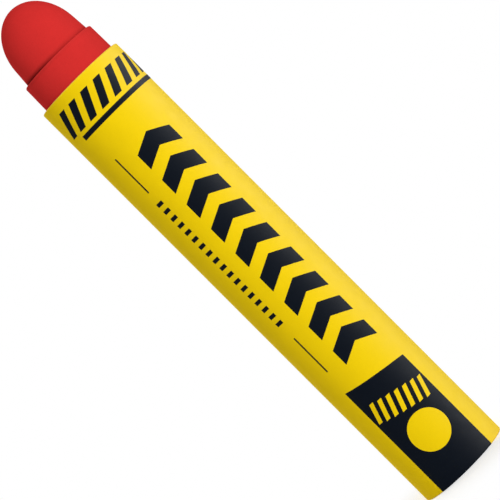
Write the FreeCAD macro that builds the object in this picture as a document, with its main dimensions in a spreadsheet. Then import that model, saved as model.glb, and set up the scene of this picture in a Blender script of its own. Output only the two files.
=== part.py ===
import FreeCAD, Part
import math
import os

import Sketcher
from FreeCAD import Placement, Rotation, Vector

# Solid paint marker: one cast stick of paint in a wound paper sleeve.
# The marker stands on the sleeve's base rim. +Z runs up the axis to the domed tip, the origin is
# the centre of the base, and the printed side of the sleeve faces -Y. Lengths are millimetres and
# angles are degrees.

doc = FreeCAD.newDocument("solid_paint_marker")
sizes = doc.addObject("Spreadsheet::Sheet", "Sizes")

# Driving sizes
driving_sizes = {
    # the sleeve
    "sleeve_length": 102.4,
    "sleeve_diameter": 19.36,
    "paper_wall": 1.05,
    "rim_rounding": 0.25,
    # the glued lap of its outer wrap, which lies away from the print
    "lap_paper": 0.12,
    "lap_width": 5.0,
    "lap_bearing": 135.0,
    # how the stick lies in the sleeve
    "fit_clearance": 0.04,
    "base_recess": 0.5,
    # the collar that stands out of the sleeve
    "collar_exposed": 5.82,
    "collar_draft": 1.0,
    "collar_edge_radius": 0.3,
    # the tip
    "shoulder_step": 0.73,
    "crease_radius": 0.15,
    "tip_height": 12.43,
    "flank_taper": 4.3,
    "dome_height": 9.63,
    # the poured end
    "poured_edge_chamfer": 0.5,
    "dimple_diameter": 13.0,
    "dimple_depth": 0.4,
}
for row, (alias, number) in enumerate(driving_sizes.items(), start=1):
    sizes.set(f"A{row}", alias.replace("_", " "))
    sizes.set(f"B{row}", str(number))
    sizes.setAlias(f"B{row}", alias)
doc.recompute()

# Sizes that follow from them, as formulas of the sheet
sleeve_radius = "(Sizes.sleeve_diameter / 2)"
bore_radius = f"({sleeve_radius} - Sizes.paper_wall)"
barrel_radius = f"({bore_radius} - Sizes.fit_clearance)"
barrel_length = "(Sizes.sleeve_length - Sizes.base_recess)"
shelf_radius = f"({barrel_radius} - Sizes.collar_exposed * tan(Sizes.collar_draft))"
shelf_height = f"({barrel_length} + Sizes.collar_exposed)"
root_radius = f"({shelf_radius} - Sizes.shoulder_step)"
raised_radius = f"({sleeve_radius} + Sizes.lap_paper)"
rooted_radius = f"({sleeve_radius} - Sizes.paper_wall / 2)"

# A sketch numbers the places on a curve from 1, and its own axes below 0
start, end, centre = range(1, 4)
y_axis, x_axis = range(-2, 0)
origin = (x_axis, start)

# How near an edge has to lie to the place where it is looked for
edge_tolerance = 1e-4

up = Vector(0, 0, 1)


def value(formula):
    return float(sizes.evalExpression(formula))


def add_body(label):
    body = doc.addObject("PartDesign::Body", label)
    body.Label = label
    return body


def add_sketch(body, name, role):
    plane = next(item for item in body.Origin.OriginFeatures if item.Role == role)
    sketch = body.newObject("Sketcher::SketchObject", name)
    sketch.AttachmentSupport = [(plane, "")]
    sketch.MapMode = "FlatFace"
    return sketch


def line(sketch, first, second):
    return sketch.addGeometry(Part.LineSegment(Vector(*first), Vector(*second)), False)


def ring(sketch, radius, is_construction=False):
    return sketch.addGeometry(Part.Circle(Vector(), up, radius), is_construction)


def ring_arc(sketch, radius, first, last):
    """Adds the arc about the axis that runs anticlockwise from one point to another."""
    angles = [math.atan2(point[1], point[0]) for point in (first, last)]
    return sketch.addGeometry(Part.ArcOfCircle(Part.Circle(Vector(), up, radius), *angles), False)


def relate(sketch, kind, *places):
    sketch.addConstraint(Sketcher.Constraint(kind, *places))


def dimension(sketch, name, formula, kind, *places):
    """Adds a dimension that follows a formula of the sheet."""
    number = value(formula)
    if kind == "Angle":
        number = math.radians(number)
    index = sketch.addConstraint(Sketcher.Constraint(kind, *places, number))
    sketch.renameConstraint(index, name)
    sketch.setExpression(f"Constraints.{name}", formula)


def ease_edges(body, kind, name, base, formula, rings):
    """Fillets or chamfers the circular edges at the given pairs of radius and height."""
    names = []
    for ring_place in rings:
        for index, edge in enumerate(base.Shape.Edges, start=1):
            seam = edge.Vertexes[0].Point
            place = (math.hypot(seam.x, seam.y), seam.z)
            if edge.Closed and math.dist(place, ring_place) < edge_tolerance:
                names.append(f"Edge{index}")
    if len(names) != len(rings):
        raise ValueError(f"{name} found {len(names)} edges of {len(rings)}")
    feature = body.newObject(f"PartDesign::{kind}", name)
    feature.Base = (base, names)
    feature.setExpression("Radius" if kind == "Fillet" else "Size", formula)
    doc.recompute()
    return feature


def add_dome(sketch, root, tip_height, dome_height, taper):
    """Adds the dome: a quarter ellipse about the axis, with the tapered flank as its tangent.

    root is the foot of the flank on the shelf. Returns the arc, the point where the flank runs
    into it, and the top of the tip.
    """
    slope = math.tan(math.radians(taper))
    waist = tip_height - dome_height
    half_width = math.sqrt((root[0] - waist * slope) ** 2 - (dome_height * slope) ** 2)
    reach = math.hypot(half_width, dome_height * slope)
    middle = Vector(0, root[1] + waist)
    side = Vector(half_width, middle.y)
    top = Vector(0, root[1] + tip_height)
    touch = Vector(half_width**2 / reach, middle.y + dome_height**2 * slope / reach)
    is_tall = dome_height > half_width
    if is_tall:
        ellipse = Part.Ellipse(top, middle * 2 - side, middle)
    else:
        ellipse = Part.Ellipse(side, top, middle)
    first, last = ellipse.parameter(touch), ellipse.parameter(top)
    if last < first:
        last += 2 * math.pi
    dome = sketch.addGeometry(Part.ArcOfEllipse(ellipse, first, last), False)
    sketch.exposeInternalGeometry(dome)
    long_axis = dome + 1
    relate(sketch, "Vertical" if is_tall else "Horizontal", long_axis)
    relate(sketch, "PointOnObject", dome, centre, y_axis)
    return dome, (touch.x, touch.y), (top.x, top.y)


def make_stick():
    """The cast stick: poured end, barrel, drafted collar, shelf, tapered flank and dome."""
    body = add_body("paint_stick")
    body.setExpression("Placement.Base.z", "Sizes.base_recess")
    sketch = add_sketch(body, "stick_outline", "XZ_Plane")

    dimple_radius = value("Sizes.dimple_diameter / 2")
    dimple_depth = value("Sizes.dimple_depth")
    dimple_top = (0, dimple_depth)
    dimple_edge = (dimple_radius, 0)
    poured_corner = (value(barrel_radius), 0)
    rim_level = (value(barrel_radius), value(barrel_length))
    shelf_corner = (value(shelf_radius), value(shelf_height))
    root = (value(root_radius), value(shelf_height))

    dome, touch, top = add_dome(
        sketch,
        root,
        value("Sizes.tip_height"),
        value("Sizes.dome_height"),
        value("Sizes.flank_taper"),
    )
    ball_radius = (dimple_radius**2 + dimple_depth**2) / (2 * dimple_depth)
    ball = Part.Circle(Vector(0, dimple_depth - ball_radius), up, ball_radius)
    dimple_angles = (math.acos(dimple_radius / ball_radius), math.pi / 2)
    dimple = sketch.addGeometry(Part.ArcOfCircle(ball, *dimple_angles), False)
    base = line(sketch, dimple_edge, poured_corner)
    barrel = line(sketch, poured_corner, rim_level)
    collar = line(sketch, rim_level, shelf_corner)
    shelf = line(sketch, shelf_corner, root)
    flank = line(sketch, root, touch)
    axis = line(sketch, top, dimple_top)

    for first, second in [(base, barrel), (barrel, collar), (collar, shelf), (shelf, flank)]:
        relate(sketch, "Coincident", first, end, second, start)
    relate(sketch, "Tangent", flank, end, dome, start)
    relate(sketch, "Coincident", dome, end, axis, start)
    relate(sketch, "Coincident", axis, end, dimple, end)
    relate(sketch, "Coincident", dimple, start, base, start)
    relate(sketch, "PointOnObject", axis, start, y_axis)
    relate(sketch, "PointOnObject", axis, end, y_axis)
    relate(sketch, "PointOnObject", dimple, centre, y_axis)
    relate(sketch, "PointOnObject", base, start, x_axis)
    relate(sketch, "Horizontal", base)
    relate(sketch, "Vertical", barrel)
    relate(sketch, "Horizontal", shelf)

    def across(name, formula, *places):
        dimension(sketch, name, formula, "DistanceX", *places)

    def along(name, formula, *places):
        dimension(sketch, name, formula, "DistanceY", *places)

    across("dimple_radius", "Sizes.dimple_diameter / 2", *origin, base, start)
    along("dimple_depth", "Sizes.dimple_depth", *origin, axis, end)
    across("barrel_radius", barrel_radius, *origin, base, end)
    along("barrel_length", barrel_length, barrel, start, barrel, end)
    along("collar_height", "Sizes.collar_exposed", collar, start, collar, end)
    dimension(sketch, "collar_draft", "90 + Sizes.collar_draft", "Angle", collar)
    across("shoulder_step", "Sizes.shoulder_step", shelf, end, shelf, start)
    dimension(sketch, "flank_taper", "90 + Sizes.flank_taper", "Angle", flank)
    along("tip_height", "Sizes.tip_height", flank, start, dome, end)
    along("dome_height", "Sizes.dome_height", dome, centre, dome, end)

    casting = body.newObject("PartDesign::Revolution", "stick_casting")
    casting.Profile = sketch
    casting.ReferenceAxis = (sketch, ["V_Axis"])
    casting.Angle = 360
    doc.recompute()

    crease = ease_edges(body, "Fillet", "shelf_crease", casting, "Sizes.crease_radius", [root])
    collar_edge = ease_edges(
        body, "Fillet", "collar_edge", crease, "Sizes.collar_edge_radius", [shelf_corner]
    )
    ease_edges(
        body, "Chamfer", "poured_edge", collar_edge, "Sizes.poured_edge_chamfer", [poured_corner]
    )
    return body, [sketch]


def add_lap_section(body):
    """Section of the lap: the wrap's cut edge, its raised arc and its straight run down.

    The run leaves the raised arc where the sheet beneath it ends, and meets the tube as a
    tangent. The section closes in the middle of the wall. The sketch's X axis points at the
    middle of the raised arc.
    """
    sketch = add_sketch(body, "lap_section", "XY_Plane")
    sketch.AttachmentOffset = Placement(Vector(), Rotation(up, 0))
    sketch.setExpression("AttachmentOffset.Base.z", "Sizes.rim_rounding")
    sketch.setExpression("AttachmentOffset.Rotation.Angle", "Sizes.lap_bearing")

    tube, raised, rooted = value(sleeve_radius), value(raised_radius), value(rooted_radius)
    half_lap = math.asin(value("Sizes.lap_width / 2") / raised)
    run_angle = math.acos(tube / raised)

    def polar(radius, angle):
        return (radius * math.cos(angle), radius * math.sin(angle))

    def sunk(point):
        return (math.sqrt(rooted**2 - point[1] ** 2), point[1])

    cut_top = polar(raised, -half_lap)
    run_top = polar(raised, half_lap)
    run_foot = polar(tube, half_lap + run_angle)

    outside = ring(sketch, tube, is_construction=True)
    raised_arc = ring_arc(sketch, raised, cut_top, run_top)
    run = line(sketch, run_top, run_foot)
    run_side = line(sketch, run_foot, sunk(run_foot))
    rooted_arc = ring_arc(sketch, rooted, sunk(cut_top), sunk(run_foot))
    cut_edge = line(sketch, sunk(cut_top), cut_top)

    for curve in (outside, raised_arc, rooted_arc):
        relate(sketch, "Coincident", curve, centre, *origin)
    relate(sketch, "Coincident", raised_arc, end, run, start)
    relate(sketch, "Coincident", run, end, run_side, start)
    relate(sketch, "Coincident", run_side, end, rooted_arc, end)
    relate(sketch, "Coincident", rooted_arc, start, cut_edge, start)
    relate(sketch, "Coincident", cut_edge, end, raised_arc, start)
    relate(sketch, "Tangent", run, end, outside)
    relate(sketch, "Horizontal", run_side)
    relate(sketch, "Horizontal", cut_edge)
    relate(sketch, "Symmetric", raised_arc, start, raised_arc, end, x_axis)
    dimension(sketch, "sleeve_radius", sleeve_radius, "Radius", outside)
    dimension(sketch, "raised_radius", raised_radius, "Radius", raised_arc)
    dimension(sketch, "rooted_radius", rooted_radius, "Radius", rooted_arc)
    lap_ends = (raised_arc, start, raised_arc, end)
    dimension(sketch, "lap_width", "Sizes.lap_width", "DistanceY", *lap_ends)
    return sketch


def make_sleeve():
    """The wound paper tube, with rounded rims and the raised lap of its outer wrap."""
    body = add_body("paper_sleeve")
    section = add_sketch(body, "tube_section", "XY_Plane")
    outside = ring(section, value(sleeve_radius))
    bore = ring(section, value(bore_radius))
    relate(section, "Coincident", outside, centre, *origin)
    relate(section, "Coincident", bore, centre, *origin)
    dimension(section, "sleeve_radius", sleeve_radius, "Radius", outside)
    dimension(section, "bore_radius", bore_radius, "Radius", bore)

    tube = body.newObject("PartDesign::Pad", "wound_tube")
    tube.Profile = section
    tube.setExpression("Length", "Sizes.sleeve_length")
    doc.recompute()
    rims = [(value(sleeve_radius), height) for height in (0, value("Sizes.sleeve_length"))]
    ease_edges(body, "Fillet", "rounded_rims", tube, "Sizes.rim_rounding", rims)

    # The lap is pressed flat where the rims are rounded
    lap_section = add_lap_section(body)
    lap = body.newObject("PartDesign::Pad", "glued_lap")
    lap.Profile = lap_section
    lap.setExpression("Length", "Sizes.sleeve_length - 2 * Sizes.rim_rounding")
    doc.recompute()
    return body, [section, lap_section]


stick, stick_sketches = make_stick()
sleeve, sleeve_sketches = make_sleeve()
doc.recompute()

# Nothing is written unless every feature is sound and every sketch is fixed by its sizes
for item in doc.Objects:
    if "Invalid" in item.State or "Error" in item.State:
        raise RuntimeError(f"{item.Name} is {item.State}")
for sketch in stick_sketches + sleeve_sketches:
    if not sketch.FullyConstrained:
        raise RuntimeError(f"{sketch.Name} is not fully constrained")
for body in (stick, sleeve):
    if body.Shape.isNull() or not body.Shape.isValid() or len(body.Shape.Solids) != 1:
        raise RuntimeError(f"{body.Label} is not one sound solid")

os.makedirs("parts", exist_ok=True)
for body in (stick, sleeve):
    body.Shape.exportStep(f"parts/{body.Label}.step")
    print(f"{body.Label}: {body.Shape.Volume:.1f} cubic mm")
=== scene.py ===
import math

import bmesh
import bpy
from mathutils import Matrix, Vector


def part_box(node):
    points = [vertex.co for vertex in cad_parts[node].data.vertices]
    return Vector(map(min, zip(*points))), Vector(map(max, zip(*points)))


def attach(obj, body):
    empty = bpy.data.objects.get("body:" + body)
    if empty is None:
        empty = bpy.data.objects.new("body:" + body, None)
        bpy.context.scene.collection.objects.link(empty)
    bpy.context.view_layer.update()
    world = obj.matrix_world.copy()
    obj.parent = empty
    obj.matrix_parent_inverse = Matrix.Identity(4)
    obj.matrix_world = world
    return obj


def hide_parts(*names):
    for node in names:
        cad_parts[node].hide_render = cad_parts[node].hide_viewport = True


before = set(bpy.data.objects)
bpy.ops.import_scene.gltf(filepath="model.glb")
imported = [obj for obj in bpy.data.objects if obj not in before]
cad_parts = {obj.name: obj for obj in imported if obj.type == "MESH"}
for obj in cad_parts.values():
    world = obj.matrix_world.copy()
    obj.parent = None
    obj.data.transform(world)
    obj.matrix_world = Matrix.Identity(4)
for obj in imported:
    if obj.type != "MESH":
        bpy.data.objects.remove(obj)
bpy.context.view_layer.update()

# Solid paint marker: a cast stick of paint in a wound and printed paper sleeve.
# Metres, in the part's own frame: +Z runs up the axis to the domed tip and the print faces -Y.

mm = 0.001
fullTurn = 2 * math.pi
crispAngle = math.radians(30)        # edges sharper than this stay crisp
weldGap = 0.0001 * mm                # points closer than this become one
fadePower = 1.5                      # how a worn edge fades out

stickLow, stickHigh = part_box("paint_stick")
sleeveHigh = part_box("paper_sleeve")[1]
sleeveRadius = sleeveHigh.x
sleeveLength = sleeveHigh.z
print("frame loaded: sleeve %.2f mm across" % (2 * sleeveRadius / mm))


# Helpers for node trees

def newTree(name, kind, inputs, outputs):
    tree = bpy.data.node_groups.new(name, kind)
    for direction, sockets in (("INPUT", inputs), ("OUTPUT", outputs)):
        for label, socketKind in sockets.items():
            kindName = "NodeSocket" + socketKind
            tree.interface.new_socket(label, in_out=direction, socket_type=kindName)
    entry = tree.nodes.new("NodeGroupInput")
    result = tree.nodes.new("NodeGroupOutput")
    return tree, entry.outputs, result.inputs


def add(tree, kind, values=None, **settings):
    node = tree.nodes.new(kind)
    for key, setting in settings.items():
        setattr(node, key, setting)
    for key, value in (values or {}).items():
        if isinstance(value, bpy.types.NodeSocket):
            tree.links.new(value, node.inputs[key])
        else:
            node.inputs[key].default_value = value
    return node


def calc(tree, operation, *values, clamp=False):
    settings = {"operation": operation, "use_clamp": clamp}
    return add(tree, "ShaderNodeMath", dict(enumerate(values)), **settings).outputs[0]


def joinXyz(tree, x=0.0, y=0.0, z=0.0):
    return add(tree, "ShaderNodeCombineXYZ", {0: x, 1: y, 2: z}).outputs[0]


def splitXyz(tree, vector):
    return add(tree, "ShaderNodeSeparateXYZ", {0: vector}).outputs


def vectorMath(tree, operation, *values):
    return add(tree, "ShaderNodeVectorMath", dict(enumerate(values)), operation=operation).outputs


def place(tree, geometry, **values):
    return add(tree, "GeometryNodeSetPosition", {"Geometry": geometry, **values}).outputs[0]


def shadeByAngle(tree, geometry):
    # smooth faces between crisp edges
    smooth = add(tree, "GeometryNodeSetShadeSmooth", {"Geometry": geometry, "Shade Smooth": True})
    edgeAngle = add(tree, "GeometryNodeInputMeshEdgeAngle").outputs[0]
    isSharp = calc(tree, "GREATER_THAN", edgeAngle, crispAngle)
    crisp = {"Geometry": smooth.outputs[0], "Selection": isSharp, "Shade Smooth": False}
    return add(tree, "GeometryNodeSetShadeSmooth", crisp, domain="EDGE").outputs[0]


def makePlain(name, tree, values, source=None):
    # runs a tree on its own object and keeps the plain mesh that it makes
    piece = bpy.data.objects.new(name, source or bpy.data.meshes.new(name))
    modifier = piece.modifiers.new("shape", "NODES")
    modifier.node_group = tree
    inputs = [item for item in tree.interface.items_tree if item.in_out == "INPUT"]
    sockets = {item.name: item.identifier for item in inputs}
    for label, value in values.items():
        modifier[sockets[label]] = value
    bpy.context.scene.collection.objects.link(piece)
    depsgraph = bpy.context.evaluated_depsgraph_get()
    mesh = bpy.data.meshes.new_from_object(piece.evaluated_get(depsgraph), depsgraph=depsgraph)
    piece.modifiers.clear()
    piece.data = mesh
    mesh.name = name

    shell = bmesh.new()
    shell.from_mesh(mesh)
    bmesh.ops.recalc_face_normals(shell, faces=shell.faces)
    openEdges = sum(1 for edge in shell.edges if not edge.is_manifold)
    shell.to_mesh(mesh)
    shell.free()
    print("made %s: %d faces, %d open edges" % (name, len(mesh.polygons), openEdges))
    return piece


# Shader groups that more than one finish uses

def makeMottleGroup():
    # uneven change of tone round 1, by the amount up or down
    inputs = {"Size": "Float", "Amount": "Float"}
    tree, given, result = newTree("mottle", "ShaderNodeTree", inputs, {"Tone": "Float"})
    spot = add(tree, "ShaderNodeTexCoord").outputs["Object"]
    scale = calc(tree, "DIVIDE", 1.0, given["Size"])
    cloud = {"Vector": spot, "Scale": scale, "Detail": 3.0, "Roughness": 0.55}
    noise = add(tree, "ShaderNodeTexNoise", cloud)
    centred = calc(tree, "SUBTRACT", noise.outputs["Fac"], 0.5)
    tone = calc(tree, "MULTIPLY_ADD", centred, calc(tree, "MULTIPLY", given["Amount"], 2.0), 1.0)
    tree.links.new(tone, result["Tone"])
    return tree


def makeGrainGroup():
    # fine relief, stretched along the axis as far as the finish asks
    inputs = {"Size": "Float", "Along": "Float", "Detail": "Float"}
    tree, given, result = newTree("grain", "ShaderNodeTree", inputs, {"Height": "Float"})
    spot = splitXyz(tree, add(tree, "ShaderNodeTexCoord").outputs["Object"])
    stretched = joinXyz(tree, spot["X"], spot["Y"], calc(tree, "DIVIDE", spot["Z"], given["Along"]))
    scale = calc(tree, "DIVIDE", 1.0, given["Size"])
    cloud = {"Vector": stretched, "Scale": scale, "Detail": given["Detail"]}
    noise = add(tree, "ShaderNodeTexNoise", cloud)
    tree.links.new(noise.outputs["Fac"], result["Height"])
    return tree


def makeNearRingGroup():
    # a mask that fades out from a ring round the axis, such as an edge, broken up by noise
    inputs = {"Radius": "Float", "Height": "Float", "Reach": "Float", "Breakup": "Float"}
    tree, given, result = newTree("nearRing", "ShaderNodeTree", inputs, {"Mask": "Float"})
    spot = add(tree, "ShaderNodeTexCoord").outputs["Object"]
    parts = splitXyz(tree, spot)
    radius = vectorMath(tree, "LENGTH", joinXyz(tree, parts["X"], parts["Y"]))["Value"]
    outward = calc(tree, "SUBTRACT", radius, given["Radius"])
    upward = calc(tree, "SUBTRACT", parts["Z"], given["Height"])
    away = vectorMath(tree, "LENGTH", joinXyz(tree, outward, upward))["Value"]
    scale = calc(tree, "DIVIDE", 1.0, given["Reach"])
    cloud = {"Vector": spot, "Scale": scale, "Detail": 3.0}
    noise = add(tree, "ShaderNodeTexNoise", cloud).outputs["Fac"]
    uneven = calc(tree, "MULTIPLY", calc(tree, "SUBTRACT", noise, 0.5), given["Breakup"])
    faded = calc(tree, "ADD", calc(tree, "DIVIDE", away, given["Reach"]), uneven)
    mask = calc(tree, "SUBTRACT", 1.0, faded, clamp=True)
    tree.links.new(calc(tree, "POWER", mask, fadePower), result["Mask"])
    return tree


mottleGroup = makeMottleGroup()
grainGroup = makeGrainGroup()
nearRingGroup = makeNearRingGroup()


def useGroup(tree, group, **values):
    return add(tree, "ShaderNodeGroup", values, node_tree=group).outputs[0]


def mixColour(tree, factor, first, second, blend="MIX"):
    # a mix node's colours are inputs 6 and 7 and output 2
    node = add(tree, "ShaderNodeMix", data_type="RGBA", blend_type=blend)
    for index, value in ((0, factor), (6, first), (7, second)):
        if isinstance(value, bpy.types.NodeSocket):
            tree.links.new(value, node.inputs[index])
        else:
            node.inputs[index].default_value = value
    return node.outputs[2]


def toned(tree, colour, tone):
    return mixColour(tree, 1.0, colour, joinXyz(tree, tone, tone, tone), "MULTIPLY")


def newFinish(name, specular):
    material = bpy.data.materials.new(name)
    material.use_nodes = True
    tree = material.node_tree
    shader = tree.nodes["Principled BSDF"].inputs
    shader["Specular IOR Level"].default_value = specular
    return material, tree, shader


def mottle(tree, own, key):
    return useGroup(tree, mottleGroup, Size=own[key + "Size"], Amount=own[key + "Amount"])


def nearRing(tree, radius, height, reach, breakup):
    values = {"Radius": radius, "Height": height, "Reach": reach, "Breakup": breakup}
    return useGroup(tree, nearRingGroup, **values)


def finishRoughness(tree, shader, own):
    level = calc(tree, "MULTIPLY", mottle(tree, own, "roughness"), own["roughness"])
    tree.links.new(level, shader["Roughness"])


def finishRelief(tree, shader, height, depth):
    bump = add(tree, "ShaderNodeBump", {"Height": height, "Distance": depth, "Strength": 1.0})
    tree.links.new(bump.outputs[0], shader["Normal"])


# Finishes

waxPaint = {
    "red": (0.665, 0.030, 0.0275, 1),
    # painted shade: the dark red laid into the crease's colour where shade falls
    "creaseShadeRed": (0.06, 0.0027, 0.0025, 1),
    "edgeRed": (0.725, 0.0455, 0.0415, 1),
    "specular": 0.001,
    "roughness": 0.65,
    "roughnessSize": 1.5 * mm,
    "roughnessAmount": 0.18,
    "mottleSize": 4 * mm,
    "mottleAmount": 0.05,
    # reach, breakup, share, lean and bend of the painted crease shade
    "creaseShadeReach": 1.15 * mm,
    "creaseShadeBreakup": 0.2,
    "creaseShadeShare": 0.50,
    "creaseShadeLean": 0.62,
    "creaseShadeBend": 0.55,
    "edgeReach": 0.6 * mm,
    "edgeBreakup": 0.6,
    "edgeShare": 0.6,
    "speckSize": 0.30 * mm,
    "speckAmount": 0.07,
    "grainSize": 0.22 * mm,
    "grainDetail": 4.0,
    "grainDepth": 0.010 * mm,
    "castSize": 1.8 * mm,
    "castDetail": 1.0,
    "castDepth": 0.02 * mm,
}


def makeWaxFinish(creaseRadius, shelfRadius, shelfLevel):
    own = waxPaint
    material, tree, shader = newFinish("waxPaint", own["specular"])
    # painted shade: the colour is darkened along the crease under the flank where shade falls, and
    # kept off the rubbed shelf edge
    crease = nearRing(tree, creaseRadius, shelfLevel, own["creaseShadeReach"], own["creaseShadeBreakup"])
    edge = nearRing(tree, shelfRadius, shelfLevel, own["edgeReach"], own["edgeBreakup"])
    rubbed = calc(tree, "MULTIPLY", edge, own["edgeShare"])
    worn = mixColour(tree, rubbed, own["red"], own["edgeRed"])
    creaseShadeMask = calc(tree, "MULTIPLY", crease, calc(tree, "SUBTRACT", 1.0, edge))

    # painted shade: the crease is darkest towards -X, the side away from the light, and least dark
    # a little to the right of the front
    spot = splitXyz(tree, add(tree, "ShaderNodeTexCoord").outputs["Object"])
    aside = calc(tree, "DIVIDE", spot["X"], creaseRadius)
    slope = calc(tree, "MULTIPLY_ADD", aside, own["creaseShadeBend"], -own["creaseShadeLean"])
    depth = calc(tree, "MULTIPLY_ADD", aside, slope, own["creaseShadeShare"], clamp=True)
    # the worn red, with the painted crease shade mixed in
    pigmentAndShade = mixColour(tree, calc(tree, "MULTIPLY", creaseShadeMask, depth), worn, own["creaseShadeRed"])
    tone = calc(tree, "MULTIPLY", mottle(tree, own, "mottle"), mottle(tree, own, "speck"))
    tree.links.new(toned(tree, pigmentAndShade, tone), shader["Base Color"])
    finishRoughness(tree, shader, own)

    # slow unevenness of the casting under the fine grain of the pigment
    fine = useGroup(tree, grainGroup, Size=own["grainSize"], Along=1.0, Detail=own["grainDetail"])
    slow = useGroup(tree, grainGroup, Size=own["castSize"], Along=1.0, Detail=own["castDetail"])
    height = calc(tree, "MULTIPLY_ADD", slow, own["castDepth"] / own["grainDepth"], fine)
    finishRelief(tree, shader, height, own["grainDepth"])
    return material


printedPaper = {
    "yellow": (0.94, 0.655, 0.0032, 1),
    "wornYellow": (0.90, 0.70, 0.20, 1),
    "specular": 0.03,
    "roughness": 0.68,
    "roughnessSize": 2 * mm,
    "roughnessAmount": 0.12,
    "mottleSize": 6 * mm,
    "mottleAmount": 0.03,
    "speckSize": 0.25 * mm,
    "speckAmount": 0.035,
    "fibreSize": 0.3 * mm,
    "fibreStretch": 2.5,
    "fibreDetail": 5.0,
    "fibreDepth": 0.008 * mm,
    "rimWear": 0.32 * mm,
    "rimBreakup": 0.8,
    "rimWearShare": 0.32,
    "seamWear": 0.30 * mm,
    "seamWearShare": 0.7,
    "rubSize": 0.7 * mm,
    "rubAmount": 0.9,
    "rubLevel": 0.8,
}


def finishFibre(tree, shader, own):
    stretch, detail = own["fibreStretch"], own["fibreDetail"]
    fibre = useGroup(tree, grainGroup, Size=own["fibreSize"], Along=stretch, Detail=detail)
    finishRelief(tree, shader, fibre, own["fibreDepth"])


def makePaperFinish(seamBearing):
    own = printedPaper
    material, tree, shader = newFinish("printedPaper", own["specular"])

    # the ink is rubbed along both rims and along the lap's cut edge
    headWear = nearRing(tree, sleeveRadius, sleeveLength, own["rimWear"], own["rimBreakup"])
    footWear = nearRing(tree, sleeveRadius, 0.0, own["rimWear"], own["rimBreakup"])
    spot = splitXyz(tree, add(tree, "ShaderNodeTexCoord").outputs["Object"])
    fromSeam = calc(tree, "SUBTRACT", calc(tree, "ARCTAN2", spot["Y"], spot["X"]), seamBearing)
    seamReach = own["seamWear"] / sleeveRadius
    acrossSeam = calc(tree, "DIVIDE", calc(tree, "ABSOLUTE", fromSeam), seamReach)
    rubbed = calc(tree, "MULTIPLY", mottle(tree, own, "rub"), own["rubLevel"])
    seamWear = calc(tree, "SUBTRACT", rubbed, acrossSeam, clamp=True)
    rimWear = calc(tree, "MAXIMUM", headWear, footWear)
    rimShare = calc(tree, "MULTIPLY", rimWear, own["rimWearShare"])
    seamShare = calc(tree, "MULTIPLY", seamWear, own["seamWearShare"])
    wear = calc(tree, "MAXIMUM", rimShare, seamShare)
    ink = mixColour(tree, wear, own["yellow"], own["wornYellow"])
    tone = calc(tree, "MULTIPLY", mottle(tree, own, "mottle"), mottle(tree, own, "speck"))
    tree.links.new(toned(tree, ink, tone), shader["Base Color"])
    finishRoughness(tree, shader, own)
    finishFibre(tree, shader, own)
    return material


rawPaper = {
    "pulp": (0.66, 0.57, 0.43, 1),
    "glueLine": (0.42, 0.34, 0.23, 1),
    "plyThickness": 0.13 * mm,
    "glueSharpness": 6.0,
    "glueShare": 0.7,
    "specular": 0.1,
    "roughness": 0.9,
    "mottleSize": 0.8 * mm,
    "mottleAmount": 0.15,
    "fibreSize": 0.15 * mm,
    "fibreDetail": 5.0,
    "fibreDepth": 0.015 * mm,
}


def makeRawPaperFinish():
    # the cut rims, with the plies of the winding as rings, and the bore
    own = rawPaper
    material, tree, shader = newFinish("rawPaper", own["specular"])
    shader["Roughness"].default_value = own["roughness"]
    spot = splitXyz(tree, add(tree, "ShaderNodeTexCoord").outputs["Object"])
    squaredY = calc(tree, "MULTIPLY", spot["Y"], spot["Y"])
    radius = calc(tree, "SQRT", calc(tree, "MULTIPLY_ADD", spot["X"], spot["X"], squaredY))
    ply = calc(tree, "SINE", calc(tree, "MULTIPLY", radius, fullTurn / own["plyThickness"]))
    line = calc(tree, "POWER", calc(tree, "MULTIPLY_ADD", ply, 0.5, 0.5), own["glueSharpness"])
    glue = calc(tree, "MULTIPLY", line, own["glueShare"])
    colour = mixColour(tree, glue, own["pulp"], own["glueLine"])
    tree.links.new(toned(tree, colour, mottle(tree, own, "mottle")), shader["Base Color"])
    fibre = useGroup(tree, grainGroup, Size=own["fibreSize"], Along=1.0, Detail=own["fibreDetail"])
    finishRelief(tree, shader, calc(tree, "SUBTRACT", fibre, line), own["fibreDepth"])
    return material


blackInk = {
    "ink": (0.0048, 0.0072, 0.0122, 1),
    "specular": 0.0275,
    "roughness": 0.68,
    "roughnessSize": 2 * mm,
    "roughnessAmount": 0.12,
    "mottleSize": 1.5 * mm,
    "mottleAmount": 0.10,
}


def makeInkFinish():
    # the paper's fibre shows through the ink
    own = blackInk
    material, tree, shader = newFinish("blackInk", own["specular"])
    tree.links.new(toned(tree, own["ink"], mottle(tree, own, "mottle")), shader["Base Color"])
    finishRoughness(tree, shader, own)
    finishFibre(tree, shader, printedPaper)
    return material


# The two turned pieces: a section outline, swept round the axis by one tree

def arcPoints(centre, radius, first, last, steps):
    points = []
    for step in range(steps + 1):
        angle = first + (last - first) * step / steps
        points.append((centre[0] + radius * math.cos(angle), centre[1] + radius * math.sin(angle)))
    return points


def easedCorner(before, corner, after, radius, steps):
    # the arc that rounds the corner between two straight edges
    corner = Vector(corner)
    toBefore = (Vector(before) - corner).normalized()
    toAfter = (Vector(after) - corner).normalized()
    halfAngle = toBefore.angle(toAfter) / 2
    centre = corner + (toBefore + toAfter).normalized() * (radius / math.sin(halfAngle))
    start = corner + toBefore * (radius / math.tan(halfAngle)) - centre
    end = corner + toAfter * (radius / math.tan(halfAngle)) - centre
    turn = start.angle_signed(end)
    spins = [Matrix.Rotation(-turn * step / steps, 2) for step in range(steps + 1)]
    return [tuple(centre + spin @ start) for spin in spins]


def outlineMesh(name, points, isClosed):
    # a section in the XY plane: X is the distance from the axis and Y the height
    edges = [(index, index + 1) for index in range(len(points) - 1)]
    if isClosed:
        edges.append((len(points) - 1, 0))
    mesh = bpy.data.meshes.new(name)
    mesh.from_pydata([(radius, height, 0) for radius, height in points], edges, [])
    return mesh


outsideFacing = 0.3        # least cosine between an outside face and the way outward


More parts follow.
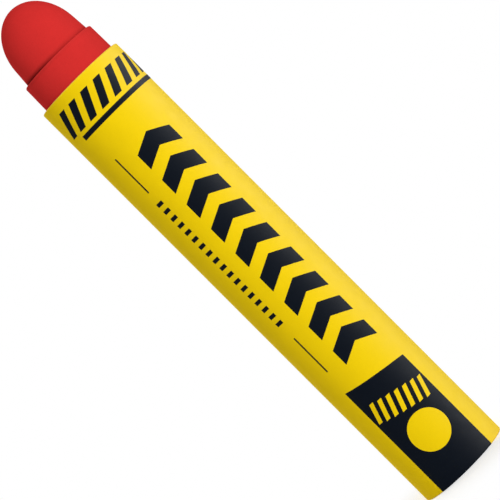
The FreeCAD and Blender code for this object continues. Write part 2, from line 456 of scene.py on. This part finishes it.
def makeTurnTree():
    inputs = {
        "Section": "Geometry",
        "Segments": "Int",
        "Seam Bearing": "Float",
        "Seam Gap": "Float",
        "Tube Radius": "Float",
        "Outside From": "Float",
        "Lap Foot": "Float",
        "Lap Run": "Float",
        "Press Foot": "Float",
        "Press Head": "Float",
        "Press Length": "Float",
        "Outside": "Material",
        "Cut": "Material",
    }
    outputs = {"Geometry": "Geometry"}
    tree, given, result = newTree("turnSection", "GeometryNodeTree", inputs, outputs)

    # the ring starts and ends at the seam, which is where the lap steps down
    circle = add(tree, "GeometryNodeCurvePrimitiveCircle", {"Resolution": given["Segments"]})
    index = add(tree, "GeometryNodeInputIndex").outputs[0]
    sweep = calc(tree, "SUBTRACT", fullTurn, given["Seam Gap"])
    stepAngle = calc(tree, "DIVIDE", sweep, calc(tree, "SUBTRACT", given["Segments"], 1.0))
    bearing = calc(tree, "MULTIPLY_ADD", index, stepAngle, given["Seam Bearing"])
    ringX = calc(tree, "MULTIPLY", calc(tree, "COSINE", bearing), given["Tube Radius"])
    ringY = calc(tree, "MULTIPLY", calc(tree, "SINE", bearing), given["Tube Radius"])
    ring = place(tree, circle.outputs["Curve"], Position=joinXyz(tree, ringX, ringY))

    outline = add(tree, "GeometryNodeMeshToCurve", {"Mesh": given["Section"]}).outputs[0]
    drawn = splitXyz(tree, add(tree, "GeometryNodeInputPosition").outputs[0])
    fromRing = calc(tree, "SUBTRACT", drawn["X"], given["Tube Radius"])
    turnedDown = calc(tree, "MULTIPLY", drawn["Y"], -1.0)
    profile = place(tree, outline, Position=joinXyz(tree, fromRing, turnedDown))
    tube = add(tree, "GeometryNodeCurveToMesh", {"Curve": ring, "Profile Curve": profile})
    swept = add(tree, "GeometryNodeFlipFaces", {"Mesh": tube.outputs[0]}).outputs[0]

    # the lap: raised where two plies lie on each other, then a straight run down to the tube
    spot = splitXyz(tree, add(tree, "GeometryNodeInputPosition").outputs[0])
    flat = joinXyz(tree, spot["X"], spot["Y"])
    distance = vectorMath(tree, "LENGTH", flat)["Value"]
    outward = vectorMath(tree, "NORMALIZE", flat)[0]
    halfGap = calc(tree, "MULTIPLY", given["Seam Gap"], 0.5)
    around = calc(tree, "ARCTAN2", spot["Y"], spot["X"])
    fromSeam = calc(tree, "SUBTRACT", around, given["Seam Bearing"])
    past = calc(tree, "WRAP", calc(tree, "ADD", fromSeam, halfGap), fullTurn, 0.0)
    toFoot = calc(tree, "SUBTRACT", given["Lap Foot"], past)
    onRun = calc(tree, "MINIMUM", calc(tree, "MAXIMUM", toFoot, 0.0), given["Lap Run"])
    raised = calc(tree, "DIVIDE", given["Tube Radius"], calc(tree, "COSINE", onRun))
    lift = calc(tree, "SUBTRACT", raised, given["Tube Radius"])
    fromFoot = calc(tree, "SUBTRACT", spot["Z"], given["Press Foot"])
    fromHead = calc(tree, "SUBTRACT", given["Press Head"], spot["Z"])
    footShare = calc(tree, "DIVIDE", fromFoot, given["Press Length"], clamp=True)
    headShare = calc(tree, "DIVIDE", fromHead, given["Press Length"], clamp=True)
    isOutside = calc(tree, "GREATER_THAN", distance, given["Outside From"])
    share = calc(tree, "MULTIPLY", calc(tree, "MULTIPLY", footShare, headShare), isOutside)
    lifted = {0: outward, "Scale": calc(tree, "MULTIPLY", lift, share)}
    offset = add(tree, "ShaderNodeVectorMath", lifted, operation="SCALE").outputs[0]
    lapped = place(tree, swept, Offset=offset)

    # faces that look outward carry the outside finish, the rims and the bore the cut one
    merged = add(tree, "GeometryNodeMergeByDistance", {"Geometry": lapped, "Distance": weldGap})
    shaded = shadeByAngle(tree, merged.outputs[0])
    real = add(tree, "GeometryNodeRealizeInstances", {"Geometry": shaded}).outputs[0]
    coated = add(tree, "GeometryNodeSetMaterial", {"Geometry": real, "Material": given["Outside"]})
    normal = add(tree, "GeometryNodeInputNormal").outputs[0]
    facing = vectorMath(tree, "DOT_PRODUCT", normal, outward)["Value"]
    isCut = calc(tree, "LESS_THAN", facing, outsideFacing)
    cut = {"Geometry": coated.outputs[0], "Selection": isCut, "Material": given["Cut"]}
    tree.links.new(add(tree, "GeometryNodeSetMaterial", cut).outputs[0], result["Geometry"])
    return tree


turnTree = makeTurnTree()

paintStick = {
    "collarHeight": 5.82 * mm,
    "collarDraft": math.radians(1.0),
    "collarEdge": 0.3 * mm,
    "shoulderStep": 0.73 * mm,
    "crease": 0.15 * mm,
    "tipHeight": 12.43 * mm,
    "flankTaper": math.radians(4.3),
    "domeHeight": 9.63 * mm,
    "pouredEdge": 0.5 * mm,
    "dimpleRadius": 6.5 * mm,
    "dimpleDepth": 0.4 * mm,
    "segments": 300,
    "dimpleRings": 12,
    "edgeRings": 8,
    "creaseRings": 6,
    "domeRings": 48,
}


def stickSection(own, shelfRadius, shelfLevel):
    foot = stickLow.z
    barrelRadius = stickHigh.x
    root = (shelfRadius - own["shoulderStep"], shelfLevel)

    # poured end: its sunk middle, the flat, the broken edge and the barrel
    depth, brim = own["dimpleDepth"], own["dimpleRadius"]
    ball = (brim**2 + depth**2) / (2 * depth)
    centre, brimAngle = (0, foot + depth - ball), math.acos(brim / ball)
    points = arcPoints(centre, ball, math.pi / 2, brimAngle, own["dimpleRings"])
    points.append((barrelRadius - own["pouredEdge"], foot))
    points.append((barrelRadius, foot + own["pouredEdge"]))
    points.append((barrelRadius, sleeveLength))

    # drafted collar, its rounded edge, the shelf and the crease under the flank
    slope = math.tan(own["flankTaper"])
    waist = own["tipHeight"] - own["domeHeight"]
    halfWidth = math.sqrt((root[0] - waist * slope) ** 2 - (own["domeHeight"] * slope) ** 2)
    reach = math.hypot(halfWidth, own["domeHeight"] * slope)
    middle = shelfLevel + waist
    touch = (halfWidth**2 / reach, middle + own["domeHeight"] ** 2 * slope / reach)
    collarFoot, shelfEdge = points[-1], (shelfRadius, shelfLevel)
    points += easedCorner(collarFoot, shelfEdge, root, own["collarEdge"], own["edgeRings"])
    points += easedCorner(shelfEdge, root, touch, own["crease"], own["creaseRings"])

    # quarter ellipse of the dome, with the flank as its tangent
    first = math.acos(halfWidth / reach)
    for ring in range(own["domeRings"] + 1):
        angle = first + (math.pi / 2 - first) * ring / own["domeRings"]
        points.append((halfWidth * math.cos(angle), middle + own["domeHeight"] * math.sin(angle)))
    points[-1] = (0, stickHigh.z)
    return points


paperSleeve = {
    "wall": 1.05 * mm,
    "rimRounding": 0.25 * mm,
    "inkFilm": 0.012 * mm,
    "lapPaper": 0.12 * mm,
    "lapWidth": 5.0 * mm,
    "lapBearing": math.radians(135),
    "lapStep": math.radians(0.05),        # the lap's cut edge is this wide round the tube
    "segments": 540,
    "rimRings": 8,
}
# the print lies on the paper and reaches the sleeve's full size
paperRadius = sleeveRadius - 2 * paperSleeve["inkFilm"]


def sleeveSection(own):
    bore = sleeveRadius - own["wall"]
    rounding, rings = own["rimRounding"], own["rimRings"]
    corners = [(bore, 0), (paperRadius, 0), (paperRadius, sleeveLength), (bore, sleeveLength)]
    points = [corners[0]]
    points += easedCorner(corners[0], corners[1], corners[2], rounding, rings)
    points += [(paperRadius, 2 * rounding), (paperRadius, sleeveLength - 2 * rounding)]
    points += easedCorner(corners[1], corners[2], corners[3], rounding, rings)
    points.append(corners[3])
    return points


def makeStick():
    own = paintStick
    shelfRadius = stickHigh.x - own["collarHeight"] * math.tan(own["collarDraft"])
    shelfLevel = sleeveLength + own["collarHeight"]
    finish = makeWaxFinish(shelfRadius - own["shoulderStep"], shelfRadius, shelfLevel)

    # the stick has no lap: it is 0 wide, and no point of the stick lies 1 m out
    values = {
        "Segments": own["segments"],
        "Seam Bearing": 0.0,
        "Seam Gap": fullTurn / own["segments"],
        "Tube Radius": stickHigh.x,
        "Outside From": 1.0,
        "Lap Foot": 0.0,
        "Lap Run": 0.0,
        "Press Foot": 0.0,
        "Press Head": 1.0,
        "Press Length": 1.0,
        "Outside": finish,
        "Cut": finish,
    }
    section = outlineMesh("stickSection", stickSection(own, shelfRadius, shelfLevel), False)
    piece = makePlain("PaintStick", turnTree, values, section)
    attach(piece, "root")
    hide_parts("paint_stick")


def makeSleeve(paperFinish, halfLap):
    own = paperSleeve
    run = math.acos(paperRadius / (paperRadius + own["lapPaper"]))
    values = {
        "Segments": own["segments"],
        "Seam Bearing": own["lapBearing"] - halfLap,
        "Seam Gap": own["lapStep"],
        "Tube Radius": paperRadius,
        "Outside From": sleeveRadius - own["wall"] / 2,
        "Lap Foot": 2 * halfLap + run,
        "Lap Run": run,
        "Press Foot": own["rimRounding"],
        "Press Head": sleeveLength - own["rimRounding"],
        "Press Length": own["rimRounding"],
        "Outside": paperFinish,
        "Cut": makeRawPaperFinish(),
    }
    section = outlineMesh("sleeveSection", sleeveSection(own), True)
    piece = makePlain("PaperSleeve", turnTree, values, section)
    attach(piece, "root")
    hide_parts("paper_sleeve")


# The print: rows of plain shapes, drawn flat and wrapped round the sleeve as thin films of ink.
# On the flat label X runs from the middle of the front round towards +X, and Y is the height.

def makePrintTree():
    inputs = {
        "Count": "Int",
        "Start": "Vector",
        "Step": "Vector",
        "Width": "Float",
        "Height": "Float",
        "Round": "Bool",
        "Edge Slope": "Float",
        "Fold": "Float",
        "Slant": "Float",
        "Columns": "Int",
        "Rows": "Int",
        "Bunching": "Float",
        "Radius": "Float",
        "Film": "Float",
        "Rim Rounding": "Float",
        "Ink": "Material",
    }
    outputs = {"Geometry": "Geometry"}
    tree, given, result = newTree("printRow", "GeometryNodeTree", inputs, outputs)
    across = calc(tree, "ADD", given["Columns"], 1.0)
    upwards = calc(tree, "ADD", given["Rows"], 1.0)
    unitGrid = {"Size X": 1.0, "Size Y": 1.0, "Vertices X": across, "Vertices Y": upwards}
    grid = add(tree, "GeometryNodeMeshGrid", unitGrid).outputs[0]

    # one shape about the middle of its foot: a bar, a chevron, a slanted bar or a disc
    unit = splitXyz(tree, add(tree, "GeometryNodeInputPosition").outputs[0])
    share = calc(tree, "ADD", unit["Y"], 0.5)
    bunched = calc(tree, "POWER", share, given["Bunching"])
    barX = calc(tree, "MULTIPLY", unit["X"], given["Width"])
    barY = calc(tree, "MULTIPLY", bunched, given["Height"])
    around = calc(tree, "MULTIPLY", calc(tree, "ADD", unit["X"], 0.5), math.pi)
    leftEnd = calc(tree, "MULTIPLY", given["Width"], -0.5)
    discX = calc(tree, "MULTIPLY", calc(tree, "COSINE", around), leftEnd)
    chord = calc(tree, "MULTIPLY", calc(tree, "SINE", around), given["Height"])
    middle = calc(tree, "MULTIPLY", given["Height"], 0.5)
    discY = calc(tree, "MULTIPLY_ADD", unit["Y"], chord, middle)
    either = {0: given["Round"], 1: joinXyz(tree, barX, barY), 2: joinXyz(tree, discX, discY)}
    switch = add(tree, "GeometryNodeSwitch", either, input_type="VECTOR")
    chosen = splitXyz(tree, switch.outputs[0])
    slope = calc(tree, "MULTIPLY", bunched, given["Edge Slope"])
    sloped = calc(tree, "MULTIPLY_ADD", chosen["X"], slope, chosen["Y"])
    folded = calc(tree, "MULTIPLY", calc(tree, "ABSOLUTE", chosen["X"]), given["Fold"])
    shapeY = calc(tree, "SUBTRACT", sloped, folded)
    shapeX = calc(tree, "MULTIPLY_ADD", chosen["Y"], given["Slant"], chosen["X"])
    shape = place(tree, grid, Position=joinXyz(tree, shapeX, shapeY))

    line = {"Count": given["Count"], "Start Location": given["Start"], "Offset": given["Step"]}
    spots = add(tree, "GeometryNodeMeshLine", line).outputs[0]
    onSpots = {"Points": spots, "Instance": shape}
    copies = add(tree, "GeometryNodeInstanceOnPoints", onSpots).outputs[0]
    flatRow = add(tree, "GeometryNodeRealizeInstances", {"Geometry": copies}).outputs[0]

    # the film is closed: a bottom, its sides and a top
    lift = {"Offset": joinXyz(tree, 0.0, 0.0, 1.0), "Offset Scale": given["Film"]}
    raised = add(tree, "GeometryNodeExtrudeMesh", {"Mesh": flatRow, "Individual": False, **lift})
    bottom = add(tree, "GeometryNodeFlipFaces", {"Mesh": flatRow})
    joined = add(tree, "GeometryNodeJoinGeometry")
    tree.links.new(raised.outputs[0], joined.inputs[0])
    tree.links.new(bottom.outputs[0], joined.inputs[0])
    weld = {"Geometry": joined.outputs[0], "Distance": weldGap}
    film = add(tree, "GeometryNodeMergeByDistance", weld).outputs[0]

    # round the sleeve, and in over its rounded base rim
    label = splitXyz(tree, add(tree, "GeometryNodeInputPosition").outputs[0])
    rounding = given["Rim Rounding"]
    belowArc = calc(tree, "MAXIMUM", calc(tree, "SUBTRACT", rounding, label["Y"]), 0.0)
    belowSquared = calc(tree, "MULTIPLY", belowArc, belowArc)
    arcSquared = calc(tree, "MULTIPLY", rounding, rounding)
    arcReach = calc(tree, "SQRT", calc(tree, "SUBTRACT", arcSquared, belowSquared))
    drop = calc(tree, "SUBTRACT", rounding, arcReach)
    radius = calc(tree, "SUBTRACT", calc(tree, "ADD", given["Radius"], label["Z"]), drop)
    bearing = calc(tree, "DIVIDE", label["X"], sleeveRadius)
    frontY = calc(tree, "MULTIPLY", radius, -1.0)
    wrappedX = calc(tree, "MULTIPLY", calc(tree, "SINE", bearing), radius)
    wrappedY = calc(tree, "MULTIPLY", calc(tree, "COSINE", bearing), frontY)
    onSleeve = place(tree, film, Position=joinXyz(tree, wrappedX, wrappedY, label["Y"]))
    shaded = shadeByAngle(tree, onSleeve)
    real = add(tree, "GeometryNodeRealizeInstances", {"Geometry": shaded}).outputs[0]
    inked = add(tree, "GeometryNodeSetMaterial", {"Geometry": real, "Material": given["Ink"]})
    tree.links.new(inked.outputs[0], result["Geometry"])
    return tree


# Millimetres and degrees on the flat label. A row starts at the middle of its first shape's foot.
plainRow = {
    "count": 1,
    "step": (0, 0),
    "slant": 0,
    "fold": 0,
    "edgeSlope": 0,
    "rows": 4,
    "bunching": 1.0,
    "isRound": False,
    "isYellow": False,
}
printRows = {
    "BandMarks": {
        "count": 13,
        "start": (-9.9, 94.9),
        "step": (3.3, 0),
        "width": 1.8,
        "height": 5.2,
        "slant": 26,
    },
    "BandLine": {"start": (13.2, 93.1), "width": 42.6, "height": 1.0},
    "Chevrons": {
        "count": 9,
        "start": (1.94, 31.8),
        "step": (0, 6.38),
        "width": 8.7,
        "height": 3.6,
        "fold": 26,
    },
    "LongDash": {
        "count": 2,
        "start": (-6.25, 31.1),
        "step": (0, 46.9),
        "width": 0.34,
        "height": 8.8,
    },
    "ShortDashes": {
        "count": 18,
        "start": (-6.25, 43.4),
        "step": (0, 1.84),
        "width": 1.6,
        "height": 0.8,
    },
    "Panel": {
        "start": (0, 0),
        "width": 14.0,
        "height": 24.7,
        "edgeSlope": -9.5,
        "rows": 20,
        "bunching": 4.0,        # rows lie close together near the rounded rim
    },
    "PanelBars": {
        "count": 7,
        "start": (-5.9, 17.3),
        "step": (1.75, -0.42),
        "width": 0.95,
        "height": 4.0,
        "slant": 20,
        "isYellow": True,
    },
    "PanelDisc": {
        "start": (0, 6.2),
        "width": 8.3,
        "height": 8.3,
        "isRound": True,
        "isYellow": True,
    },
}


def makePrint(paperFinish):
    tree = makePrintTree()
    inkFinish = makeInkFinish()
    film = paperSleeve["inkFilm"]
    for name, special in printRows.items():
        own = {**plainRow, **special}
        startX, startY = own["start"]
        stepX, stepY = own["step"]

        # about a column for each degree, and an even number, so that an edge lies on the fold
        halfSpan = math.degrees(own["width"] * mm / sleeveRadius) / 2
        # black ink lies half in the paper, and yellow a film higher, up to the full size
        filmsDown = 2 if own["isYellow"] else 3
        values = {
            "Count": own["count"],
            "Start": (startX * mm, startY * mm, 0),
            "Step": (stepX * mm, stepY * mm, 0),
            "Width": own["width"] * mm,
            "Height": own["height"] * mm,
            "Round": own["isRound"],
            "Edge Slope": math.tan(math.radians(own["edgeSlope"])),
            "Fold": math.tan(math.radians(own["fold"])),
            "Slant": math.tan(math.radians(own["slant"])),
            "Columns": 2 * math.ceil(halfSpan),
            "Rows": own["rows"],
            "Bunching": own["bunching"],
            "Radius": sleeveRadius - filmsDown * film,
            "Film": 2 * film,
            "Rim Rounding": paperSleeve["rimRounding"],
            "Ink": paperFinish if own["isYellow"] else inkFinish,
        }
        piece = makePlain(name, tree, values)
        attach(piece, "root")


halfLap = math.asin(paperSleeve["lapWidth"] / 2 / (paperRadius + paperSleeve["lapPaper"]))
paperFinish = makePaperFinish(paperSleeve["lapBearing"] - halfLap)
makeStick()
makeSleeve(paperFinish, halfLap)
makePrint(paperFinish)


# Floor, light and camera

studio = {
    "white": (1, 1, 1, 1),
    "floorRadius": 4.0,
    "floorSegments": 96,
    "floorTone": (0.80, 0.80, 0.80, 1),
    "floorGlow": 0.42,
    "shadowFrom": 0.010,
    "shadowTo": 0.040,
    "ambient": 0.39,
}


def seenDirectly(tree):
    # rays that show the background itself: the camera's, mirrored and passing through
    path = add(tree, "ShaderNodeLightPath").outputs
    direct = calc(tree, "MAXIMUM", path["Is Camera Ray"], path["Is Glossy Ray"])
    return calc(tree, "MAXIMUM", direct, path["Is Transmission Ray"])


def mixShader(tree, factor, first, second):
    return add(tree, "ShaderNodeMixShader", {0: factor, 1: first, 2: second}).outputs[0]


def makeFloor():
    own = studio
    mesh = bpy.data.meshes.new("Floor")
    disc = bmesh.new()
    bmesh.ops.create_circle(
        disc, cap_ends=True, radius=own["floorRadius"], segments=own["floorSegments"]
    )
    disc.to_mesh(mesh)
    disc.free()
    floor = bpy.data.objects.new("Floor", mesh)
    bpy.context.scene.collection.objects.link(floor)

    material = bpy.data.materials.new("paleFloor")
    material.use_nodes = True
    tree = material.node_tree
    tree.nodes.clear()
    lit = add(tree, "ShaderNodeBsdfDiffuse", {"Color": own["floorTone"]}).outputs[0]
    glowing = {"Color": own["white"], "Strength": own["floorGlow"]}
    glow = add(tree, "ShaderNodeEmission", glowing).outputs[0]
    white = add(tree, "ShaderNodeEmission", {"Color": own["white"], "Strength": 1.0}).outputs[0]

    # the shadow shows at the marker's foot, and fades into plain white round it
    nearby = add(tree, "ShaderNodeAddShader", {0: lit, 1: glow}).outputs[0]
    spot = add(tree, "ShaderNodeTexCoord").outputs["Object"]
    away = vectorMath(tree, "LENGTH", spot)["Value"]
    limits = {"Value": away, "From Min": own["shadowFrom"], "From Max": own["shadowTo"]}
    fade = add(tree, "ShaderNodeMapRange", limits, interpolation_type="SMOOTHSTEP").outputs[0]
    shown = mixShader(tree, fade, nearby, white)
    output = add(tree, "ShaderNodeOutputMaterial")
    tree.links.new(mixShader(tree, seenDirectly(tree), lit, shown), output.inputs["Surface"])
    mesh.materials.append(material)


def makeWorld():
    own = studio
    world = bpy.data.worlds.new("studio")
    bpy.context.scene.world = world
    world.use_nodes = True
    tree = world.node_tree
    tree.nodes.clear()
    lighting = {"Color": own["white"], "Strength": own["ambient"]}
    ambient = add(tree, "ShaderNodeBackground", lighting).outputs[0]
    white = add(tree, "ShaderNodeBackground", {"Color": own["white"], "Strength": 1.0}).outputs[0]
    output = add(tree, "ShaderNodeOutputWorld")
    mixed = mixShader(tree, seenDirectly(tree), ambient, white)
    tree.links.new(mixed, output.inputs["Surface"])


# The key and the back lamp give the light, and the sheen lamp only its pale reflection down
# one side. The bearing is in degrees from the camera's side round towards +X.
lamps = {
    "keyLamp": {
        "bearing": 28,
        "rise": 10,
        "distance": 1.0,
        "width": 0.6,
        "height": 1.0,
        "watts": 8.5,
        "isSheen": False,
    },
    "backLamp": {
        "bearing": 201,
        "rise": 20,
        "distance": 1.1,
        "width": 0.7,
        "height": 0.9,
        "watts": 7.0,
        "isSheen": False,
    },
    "sheenLamp": {
        "bearing": 88,
        "rise": 4,
        "distance": 0.9,
        "width": 0.9,
        "height": 0.26,
        "watts": 72.0,
        "isSheen": True,
    },
}


def makeLamps():
    target = Vector((0, 0, stickHigh.z / 2))
    for name, own in lamps.items():
        lamp = bpy.data.lights.new(name, "AREA")
        lamp.shape = "RECTANGLE"
        lamp.size = own["width"]
        lamp.size_y = own["height"]
        lamp.energy = own["watts"]
        bearing, rise = math.radians(own["bearing"]), math.radians(own["rise"])
        level = math.cos(rise)
        away = Vector((math.sin(bearing) * level, -math.cos(bearing) * level, math.sin(rise)))
        holder = bpy.data.objects.new(name, lamp)
        holder.location = target + away * own["distance"]
        holder.rotation_euler = away.to_track_quat("Z", "Y").to_euler()
        holder.visible_camera = False
        holder.visible_diffuse = not own["isSheen"]
        holder.visible_glossy = own["isSheen"]
        bpy.context.scene.collection.objects.link(holder)


view = {
    "place": Vector((0, -520, 68.9)) * mm,
    "aim": Vector((0, 0, 57.12)) * mm,
    "axisAngle": math.radians(45.04),        # the marker's axis in the picture, from the horizontal
    "lens": 199.0,
    "sensor": 36.0,
    "nearest": 0.01,
    "farthest": 20.0,
}


def makeCamera():
    data = bpy.data.cameras.new("camera")
    data.lens = view["lens"]
    data.sensor_width = view["sensor"]
    data.clip_start = view["nearest"]
    data.clip_end = view["farthest"]
    camera = bpy.data.objects.new("camera", data)
    forward = (view["aim"] - view["place"]).normalized()
    level = forward.cross(Vector((0, 0, 1))).normalized()
    upright = level.cross(forward)
    tilt = math.pi / 2 - view["axisAngle"]
    up = upright * math.cos(tilt) + level * math.sin(tilt)
    right = forward.cross(up)
    turned = Matrix((right, up, -forward)).transposed().to_4x4()
    camera.matrix_world = Matrix.Translation(view["place"]) @ turned
    bpy.context.scene.collection.objects.link(camera)
    bpy.context.scene.camera = camera


makeFloor()
makeWorld()
makeLamps()
makeCamera()
bpy.context.scene.view_settings.view_transform = "Standard"
print("floor, light and camera are set")
